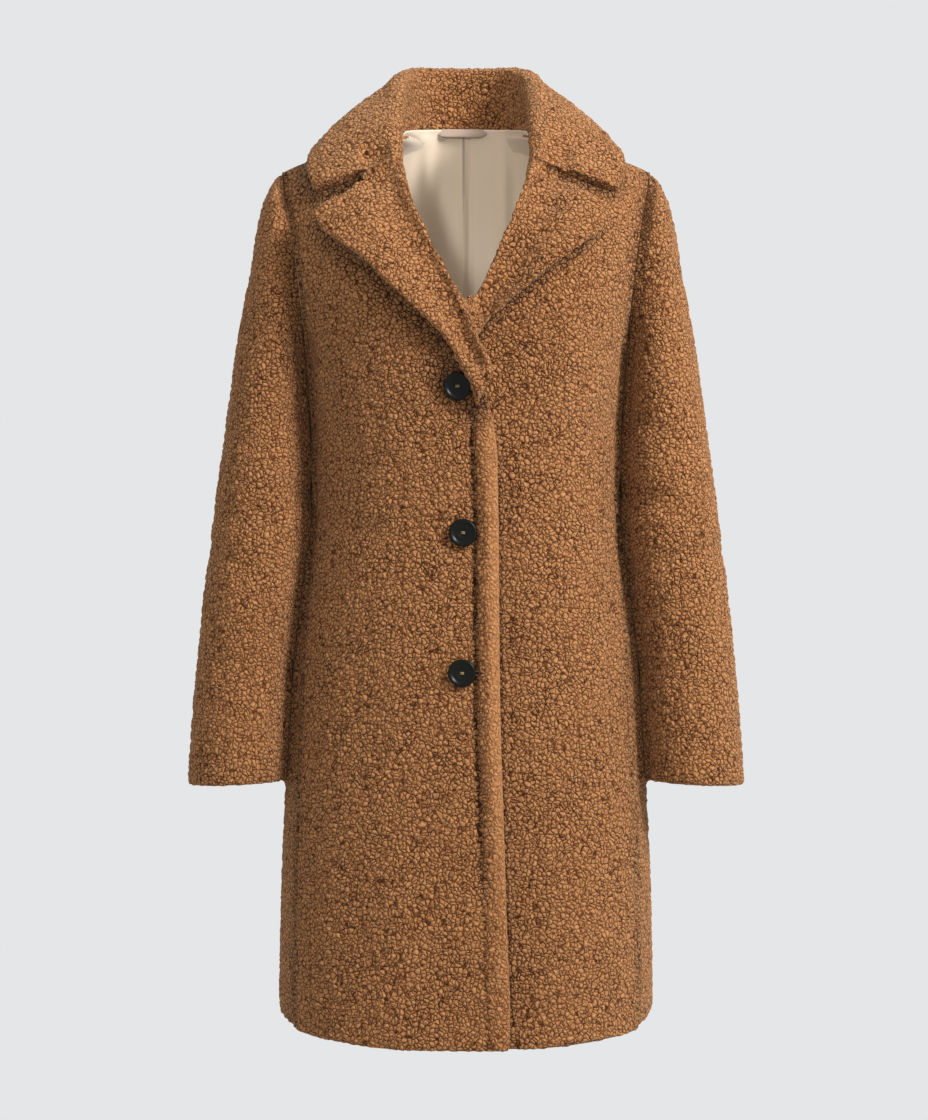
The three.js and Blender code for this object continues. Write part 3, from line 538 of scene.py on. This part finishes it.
def groove_shade(places):
    """1 down in the groove, where shade is painted on the pile."""
    back = edge_x(places[:, 2]) - places[:, 0]
    here = np.exp(-((back - GROOVE_BACK) / (GROOVE_WIDE * 0.9)) ** 2)
    fading = 0.25 + 0.75 * step(places[:, 2], -0.80, -0.65)
    return here * fading * below_lapel(places) * 0.95


right_front = cloth_from("front_right", "right_front_cloth", 2)
refine(right_front, RIGHT_SPACING, body_outer)
crease(right_front, RIGHT_CREASES)
front_ridge(right_front)
# Painted shade lies down the groove and under the lapel and collar
add_pile(right_front, "front_right", body_outer, combed_edge, groove_shade, 1.0, 0.028)
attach(right_front, "root")
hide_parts("front_right")

# Left front
# The wearer's left front, the same cloth, laid under the right one.
# Its edge is hidden, and it dips where the right front lies on it.

LEFT_SPACING = 0.0020
LEFT_CREASES = [
    # (from x, z), (to x, z), half width, depth
    ((0.150, -0.300), (0.105, -0.350), 0.020, 0.0025),
    ((0.095, -0.560), (0.120, -0.900), 0.028, 0.0030),
    ((0.150, -0.500), (0.160, -0.640), 0.018, 0.0020),
    ((0.062, -0.650), (0.066, -0.910), 0.022, 0.0022),
]


def shade_beside_edge(places):
    """1 on the pile close beside the right front's edge, where shade is painted."""
    past = places[:, 0] - edge_x(places[:, 2])
    here = np.exp(-np.clip(past, 0, 1) / 0.016) * np.where(places[:, 1] < 0, 1, 0)
    return here * step(places[:, 2], -0.300, -0.350) * 0.55


left_front = cloth_from("front_left", "left_front_cloth", 2)
refine(left_front, LEFT_SPACING, body_outer)
crease(left_front, LEFT_CREASES)
# Painted shade lies beside the right front's edge and under the lapel and collar
add_pile(left_front, "front_left", body_outer, None, shade_beside_edge, 0.9, 0.013)
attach(left_front, "root")
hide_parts("front_left")

# Back
# The back in one piece, from one side seam round to the other.
# Soft folds fall from the shoulder blades and spread above the hem.

BACK_SPACING = 0.00262
BACK_CREASES = [
    # (from x, z), (to x, z), half width, depth
    ((-0.070, -0.200), (-0.085, -0.480), 0.030, 0.0030),
    ((0.075, -0.210), (0.088, -0.470), 0.030, 0.0030),
    ((-0.060, -0.600), (-0.075, -0.915), 0.030, 0.0045),
    ((0.030, -0.620), (0.036, -0.915), 0.026, 0.0038),
    ((0.110, -0.600), (0.128, -0.915), 0.030, 0.0042),
    ((-0.140, -0.420), (-0.060, -0.445), 0.016, 0.0028),
    ((0.145, -0.415), (0.070, -0.450), 0.018, 0.0026),
]


def neck_rim(places):
    """1 on the back's edge at the neck, where the fur is trimmed for the lining."""
    here = (np.abs(places[:, 0]) < 0.082) & (places[:, 1] > 0.02) & (places[:, 2] > -0.022)
    return np.where(here, 1.0, 0.0)


back = cloth_from("back", "back_cloth", 2)
refine(back, BACK_SPACING, body_outer)
crease(back, BACK_CREASES, front=False)
add_pile(back, "back", body_outer, bare=neck_rim)
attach(back, "root")
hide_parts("back")

# Sleeves
# Two set-in sleeves, each a tube cut in one piece with a seam under the arm.
# They bend forward a little and crease softly at the elbow and the armpit.

SLEEVE_SPACING = 0.0020
SLEEVE_MIDDLE = [
    # x, y and z of the tube's middle, for the left sleeve
    (0.1775, 0.000, -0.1385),
    (0.1890, 0.001, -0.1550),
    (0.1940, -0.001, -0.1780),
    (0.2015, -0.006, -0.2340),
    (0.2065, -0.012, -0.3125),
    (0.2125, -0.018, -0.3950),
    (0.2240, -0.025, -0.4800),
    (0.2305, -0.032, -0.5620),
    (0.2360, -0.040, -0.6800),
]
SLEEVE_CREASES = [
    # (from x, z), (to x, z), half width, depth
    ((0.178, -0.300), (0.215, -0.330), 0.012, 0.0030),
    ((0.172, -0.380), (0.232, -0.405), 0.014, 0.0038),
    ((0.255, -0.440), (0.205, -0.452), 0.015, 0.0030),
    ((0.190, -0.560), (0.250, -0.548), 0.016, 0.0024),
    ((0.236, -0.110), (0.205, -0.230), 0.016, 0.0022),
]


def sleeve_outer(side):
    """A function that says how far each place faces out of the tube, from 1 to -1."""
    rows = np.array(SLEEVE_MIDDLE) * (side, 1, 1)
    line = np.concatenate([np.linspace(a, b, 12) for a, b in zip(rows[:-1], rows[1:])])

    def outer(places, normals):
        nearest = np.full(len(places), 9.0)
        away = np.zeros_like(places)
        for centre in line:
            gap = np.linalg.norm(places - centre, axis=1)
            closer = gap < nearest
            nearest[closer] = gap[closer]
            away[closer] = (places - centre)[closer]
        return (unit(away) * normals).sum(axis=1)

    return outer


def sleeve_crease(piece, side, creases):
    """Soft troughs on a sleeve's front and fainter ones behind."""
    places = read(piece, "vertices", "co", 3)
    rows = np.array(SLEEVE_MIDDLE) * (side, 1, 1)
    middle_x = np.interp(-places[:, 2], -rows[:, 2], rows[:, 0])
    middle_y = np.interp(-places[:, 2], -rows[:, 2], rows[:, 1])
    away = unit(np.stack([places[:, 0] - middle_x, places[:, 1] - middle_y, places[:, 2] * 0], axis=1))
    moved = places.copy()
    for (ax, az), (bx, bz), wide, deep in creases:
        gap, _ = beside_line(places, (ax * side, az), (bx * side, bz))
        strength = np.exp(-(gap / wide) ** 2) * np.where(places[:, 1] < middle_y, 1, 0.6)
        moved -= away * (deep * strength)[:, None]
    put_back(piece, moved)


for side, node, name in ((1, "sleeve_left", "left_sleeve_cloth"),
                         (-1, "sleeve_right", "right_sleeve_cloth")):
    sleeve = cloth_from(node, name, 2)
    refine(sleeve, SLEEVE_SPACING, sleeve_outer(side))
    sleeve_crease(sleeve, side, SLEEVE_CREASES)
    add_pile(sleeve, node, sleeve_outer(side))
    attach(sleeve, "root")
    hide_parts(node)

# Collar
# The notched collar, a stand and a leaf in one band folded over.
# Both faces are fur, and the fold is thick and round.

COLLAR_SPACING = 0.0019
NOTCH_FROM = 0.110


def all_over(places, normals):
    """1 everywhere: the piece has pile on both faces."""
    return np.ones(len(places))


def gorge(places):
    """1 along the seam between collar and lapel, 0 in the open notch beyond."""
    here = step(np.abs(places[:, 0]), NOTCH_FROM, NOTCH_FROM - 0.008)
    return here * np.where((places[:, 1] < -0.03) & (places[:, 2] < -0.015), 1, 0)


collar = cloth_from("collar", "collar_cloth", 2)
refine(collar, COLLAR_SPACING, all_over)
add_pile(collar, "collar", all_over, shaded=0, joined=gorge)
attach(collar, "root")
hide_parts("collar")

# Lapels
# The fur facings of both fronts, folded back over them at the roll line.
# The right one ends at the top button, the left one goes under the right front.

LAPEL_SPACING = 0.0019
# How far the outer part stands off the front, on the right (-1) and on the left (1)
STAND_OFF = {-1: 0.006, 1: 0.005}
ROLL_LINE = [
    # depth below the neck, distance of the roll line from the middle
    (0.046, 0.062),
    (0.075, 0.054),
    (0.110, 0.038),
    (0.150, 0.018),
    (0.188, -0.001),
    (0.222, -0.014),
    (0.256, -0.027),
    (0.300, -0.030),
]


def stand_off(piece, side):
    """Lifts a lapel's outer part off the front, as thick cloth rolls."""
    places = read(piece, "vertices", "co", 3)
    roll = np.interp(-places[:, 2], [row[0] for row in ROLL_LINE], [row[1] for row in ROLL_LINE])
    past = places[:, 0] * side - roll
    between = step(places[:, 2], -0.05, -0.08) * step(places[:, 2], -0.285, -0.225)
    lift = step(past, 0.018, 0.068) * between
    places[:, 1] -= STAND_OFF[side] * lift * lift * (3 - 2 * lift)
    put_back(piece, places)


for node, name, side, cut in (("lapel_right", "right_lapel_cloth", -1, 0.0205),
                              ("lapel_left", "left_lapel_cloth", 1, 0.0175)):
    lapel = cloth_from(node, name, 2)
    refine(lapel, LAPEL_SPACING, all_over)
    stand_off(lapel, side)
    add_pile(lapel, node, all_over, shaded=0, joined=gorge)
    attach(lapel, "root")
    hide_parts(node)

# Lining
# Beige satin inside the back, seen in the neck opening.
# A pleat runs down its middle, and soft folds hang beside it.

LINING_SPACING = 0.0026
# x of the pleat, down which the satin paints a line of shade
PLEAT_X = -0.0025
LINING_FOLDS = [
    # x of the fold, depth, half width
    (-0.0025, 0.0034, 0.0026),
    (0.0040, -0.0026, 0.0030),
    (-0.0400, 0.0050, 0.0080),
    (-0.0280, -0.0022, 0.0060),
    (0.0400, 0.0050, 0.0060),
    (0.0520, -0.0030, 0.0060),
    (-0.0620, 0.0020, 0.0080),
]
LINING_EDGE = [
    # distance from the middle, height of the lining's upper edge
    (0.0, 0.0033),
    (0.0255, 0.0032),
    (0.0460, 0.0000),
    (0.0648, -0.0093),
    (0.0922, -0.0199),
]
SEWN_UP = 0.0078
SEWN_UP_SIDES = 0.0012
SEWN_IN = 0.0032


def in_view(places, normals):
    """1 on the part of the lining that is seen through the neck, -1 elsewhere."""
    seen = (places[:, 1] > 0.02) & (places[:, 2] > -0.30) & (np.abs(places[:, 0]) < 0.085)
    return np.where(seen, 1.0, -1.0)


lining = cloth_from("lining", "back_lining", 2)
refine(lining, LINING_SPACING, in_view)
places = read(lining, "vertices", "co", 3)
for at, deep, wide in LINING_FOLDS:
    lean = at + 0.10 * at * np.clip(-places[:, 2] / 0.4, 0, 1)
    fold = deep * np.exp(-((places[:, 0] - lean) / wide) ** 2)
    fold *= np.where(places[:, 1] > 0.02, 1, 0) * np.clip((0.004 - places[:, 2]) / 0.04, 0.15, 1)
    places[:, 1] -= fold
aside = np.abs(places[:, 0])
edge = np.interp(aside, [row[0] for row in LINING_EDGE], [row[1] for row in LINING_EDGE])
# The upper edge is drawn up over the seam of back and collar, and in from it
neck = step(places[:, 2] - edge, -0.035, -0.002) * step(aside, 0.074, 0.066)
outward = unit(places[:, :2] - (0.0, 0.012))
places[:, 2] += (SEWN_UP + SEWN_UP_SIDES * step(aside, 0.030, 0.046)) * neck
places[:, :2] -= outward * (SEWN_IN * neck)[:, None]
put_back(lining, places)
lining.data.materials.append(make_satin_material("beige woven satin with a pleat", "#ecdac3", "#dac7af",
                                                 PLEAT_X))
select_only(lining)
bpy.ops.object.shade_smooth()
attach(lining, "root")
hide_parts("lining")

# Hanger loop
# A narrow satin band sewn into the neck seam at both its ends.

hanger = cloth_from("hanger_loop", "hanger_band", 2)
hanger.data.materials.append(make_satin_material("pale satin ribbon", "#b49e8c", "#9c8675"))
select_only(hanger)
bpy.ops.object.shade_smooth()
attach(hanger, "root")
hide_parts("hanger_loop")

# Buttons
# Turned dark buttons of horn-look resin with a raised rim, drawn without their two holes.
# Beige thread holds each one, and a stitched buttonhole shows beside the top and the bottom one.


def make_horn_material():
    """Polished near-black resin with faint cloudy streaks some 6 mm apart."""
    material = bpy.data.materials.new("polished dark resin")
    material.use_nodes = True
    tree = material.node_tree
    shader = tree.nodes["Principled BSDF"]
    place = add_node(tree, "ShaderNodeTexCoord", {}).outputs["Object"]
    streaks = add_node(tree, "ShaderNodeTexNoise",
                       {"in_Scale": 160.0, "in_Detail": 4.0, "in_Distortion": 1.2}, Vector=place)
    mixed = add_node(tree, "ShaderNodeMix", {"data_type": "RGBA", "in_6": linear("#060806"),
                     "in_7": linear("#121410")}, to_0=streaks.outputs["Fac"])
    tree.links.new(mixed.outputs[2], shader.inputs["Base Color"])
    shader.inputs["Roughness"].default_value = 0.32
    shader.inputs["Specular IOR Level"].default_value = 0.14
    return material


def make_thread_material(name, colour):
    """Twisted polyester sewing thread, which looks dull and even."""
    material = bpy.data.materials.new(name)
    material.use_nodes = True
    shader = material.node_tree.nodes["Principled BSDF"]
    shader.inputs["Base Color"].default_value = linear(colour)
    shader.inputs["Roughness"].default_value = 0.8
    return material


horn = make_horn_material()
button_thread = make_thread_material("beige twisted thread", "#8a6a45")
hole_thread = make_thread_material("dark brown twisted thread", "#3a2617")
BUTTON_PROFILE = [
    # radius, height above the underside
    (0.0000, 0.0022),
    (0.0026, 0.0022),
    (0.0046, 0.0025),
    (0.0058, 0.0031),
    (0.0072, 0.0029),
    (0.0088, 0.0030),
    (0.0100, 0.0036),
    (0.0113, 0.0045),
    (0.0124, 0.0047),
    (0.0134, 0.0042),
    (0.0140, 0.0030),
    (0.0139, 0.0014),
    (0.0128, 0.0003),
    (0.0110, 0.0000),
    (0.0000, 0.0000),
]
BUTTONHOLES = [
    # button, left end and right end across
    ("button_top", -0.0225, 0.0040),
    ("button_bottom", -0.0120, 0.0158),
]
STITCH_LONG = 0.0040
STITCH_HEIGHT = 0.0024
STITCH_RISE = 0.0009
STITCH_APART = 0.0014
STITCH_RADIUS = 0.00055
BAR_HALF_HEIGHT = 0.0022
BAR_RADIUS = 0.0010
BAR_WINDS = 32


def button_frame(node):
    """The middle of a button's underside, and the ways across, up and out of it."""
    corners = read(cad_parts[node], "vertices", "co", 3)
    centre = corners.mean(axis=0)
    _, _, axes = np.linalg.svd(corners - centre)
    way = axes[2] * (-1 if axes[2][1] > 0 else 1)
    base = centre + way * ((corners - centre) @ way).min()
    across = np.cross((0, 0, 1), way)
    across /= np.linalg.norm(across)
    return base, across, np.cross(way, across), way


def ring_round(middle, first, second, radius, sides=6):
    """Points round the middle of a thread, in the plane of two ways."""
    turns = [2 * math.pi * k / sides for k in range(sides)]
    return [middle + radius * (math.cos(t) * first + math.sin(t) * second) for t in turns]


def add_thread(name, runs, material, closed):
    """Sewing thread in one or more runs, each a row of rings that closes on itself or is capped."""
    points = []
    faces = []
    for rings in runs:
        first = len(points)
        count = len(rings)
        sides = len(rings[0])
        points += [point for ring in rings for point in ring]
        for k in range(count if closed else count - 1):
            near = first + k * sides
            far = first + (k + 1) % count * sides
            for j in range(sides):
                after = (j + 1) % sides
                faces.append((near + j, near + after, far + after, far + j))
        if not closed:
            last = first + (count - 1) * sides
            faces.append(tuple(first + j for j in range(sides)))
            faces.append(tuple(last + j for j in reversed(range(sides))))
    shape = bpy.data.meshes.new(name)
    shape.from_pydata([tuple(p) for p in points], [], faces)
    shape.materials.append(material)
    thread = bpy.data.objects.new(name, shape)
    bpy.context.scene.collection.objects.link(thread)
    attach(thread, "root")


for node, name in (("button_top", "top_button"), ("button_middle", "middle_button"),
                   ("button_bottom", "bottom_button")):
    base, across, upward, way = button_frame(node)
    outline = [base + radius * across + height * way for radius, height in BUTTON_PROFILE]
    shape = bpy.data.meshes.new(name)
    shape.from_pydata([tuple(p) for p in outline], [(k, k + 1) for k in range(len(outline) - 1)], [])
    shape.materials.append(horn)
    button = bpy.data.objects.new(name, shape)
    bpy.context.scene.collection.objects.link(button)
    select_only(button)
    bpy.ops.object.mode_set(mode="EDIT")
    bpy.ops.mesh.select_all(action="SELECT")
    bpy.ops.mesh.spin(steps=48, angle=2 * math.pi, center=tuple(base), axis=tuple(way))
    bpy.ops.mesh.select_all(action="SELECT")
    bpy.ops.mesh.remove_doubles(threshold=0.00001)
    bpy.ops.mesh.normals_make_consistent(inside=False)
    bpy.ops.object.mode_set(mode="OBJECT")
    bpy.ops.object.shade_smooth()
    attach(button, "root")
    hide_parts(node)

    stitches = []
    for lift in (STITCH_APART / 2, -STITCH_APART / 2):
        rings = []
        for k in range(9):
            height = STITCH_HEIGHT + STITCH_RISE * math.sin(math.pi * k / 8)
            middle = base + way * height + across * (STITCH_LONG * (k / 8 - 0.5)) + upward * lift
            rings.append(ring_round(middle, upward, way, STITCH_RADIUS))
        stitches.append(rings)
    add_thread(name + "_thread", stitches, button_thread, False)

for node, left_end, right_end in BUTTONHOLES:
    low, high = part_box(node)
    rings = []
    for k in range(BAR_WINDS):
        turn = 2 * math.pi * k / BAR_WINDS
        outward = np.array((math.cos(turn), 0, math.sin(turn)))
        middle = np.array(((left_end + right_end) / 2 + (right_end - left_end) / 2 * math.cos(turn),
                           high[1] - 0.0002 - 0.0012 * (k % 2),
                           (low[2] + high[2]) / 2 + BAR_HALF_HEIGHT * math.sin(turn)))
        rings.append(ring_round(middle, outward, np.array((0, 1, 0)), BAR_RADIUS))
    add_thread(node + "_hole", [rings], hole_thread, True)

# Camera, light and floor
# Soft studio light from the upper right, and a pale room all round.

scene = bpy.context.scene
scene.view_settings.view_transform = "Standard"
MM_PER_PIXEL = 1.04
PHOTO_WIDTH = 928
SENSOR = 36.0
DISTANCE = 2.8
LIGHTS = [
    # name, place, aimed at, width, power
    ("key", (2.3, -1.85, 1.35), (0.0, 0.0, -0.40), 0.8, 158.0),
    ("top", (0.5, 0.6, 2.2), (0.0, 0.0, -0.4), 1.4, 14.0),
    ("back", (-0.4, 2.4, 0.6), (0.0, 0.0, -0.4), 1.8, 14.0),
]
# A narrow spot brightens the lining inside the neck
NECK_LIGHT_PLACE = (-0.35, -1.75, 0.10)
NECK_LIGHT_AIM = (-0.004, 0.075, -0.075)

eye = bpy.data.cameras.new("camera")
eye.sensor_fit = "HORIZONTAL"
eye.sensor_width = SENSOR
eye.lens = SENSOR * DISTANCE / (PHOTO_WIDTH * MM_PER_PIXEL / 1000)
camera = bpy.data.objects.new("camera", eye)
camera.location = (-0.002, -DISTANCE, -0.447)
camera.rotation_euler = (math.pi / 2, 0, 0)
scene.collection.objects.link(camera)
scene.camera = camera


def place_lamp(name, lamp, place, target):
    """Sets a lamp at its place, turned to its target."""
    way = np.array(target) - np.array(place)
    flat = math.hypot(way[0], way[1])
    light = bpy.data.objects.new(name, lamp)
    light.location = place
    light.rotation_euler = (math.atan2(flat, -way[2]), 0, math.atan2(way[1], way[0]) - math.pi / 2)
    scene.collection.objects.link(light)


for name, place, target, width, power in LIGHTS:
    lamp = bpy.data.lights.new(name, "AREA")
    lamp.shape = "SQUARE"
    lamp.size = width
    lamp.energy = power
    place_lamp(name, lamp, place, target)

neck_lamp = bpy.data.lights.new("neck", "SPOT")
neck_lamp.energy = 88.0
neck_lamp.spot_size = math.radians(6.5)
neck_lamp.spot_blend = 0.8
neck_lamp.shadow_soft_size = 0.12
place_lamp("neck", neck_lamp, NECK_LIGHT_PLACE, NECK_LIGHT_AIM)

sky = bpy.data.worlds.new("pale studio")
sky.use_nodes = True
sky.node_tree.nodes["Background"].inputs["Color"].default_value = linear("#e5e6e7")
sky.node_tree.nodes["Background"].inputs["Strength"].default_value = 1.0
scene.world = sky

bpy.ops.mesh.primitive_circle_add(vertices=96, radius=1.4, fill_type="NGON", location=(0, 0, -1.40))
floor = bpy.context.active_object
floor.name = "floor"
paint = bpy.data.materials.new("matt pale paint")
paint.use_nodes = True
paint.node_tree.nodes["Principled BSDF"].inputs["Base Color"].default_value = linear("#b4b5b5")
paint.node_tree.nodes["Principled BSDF"].inputs["Roughness"].default_value = 0.9
floor.data.materials.append(paint)
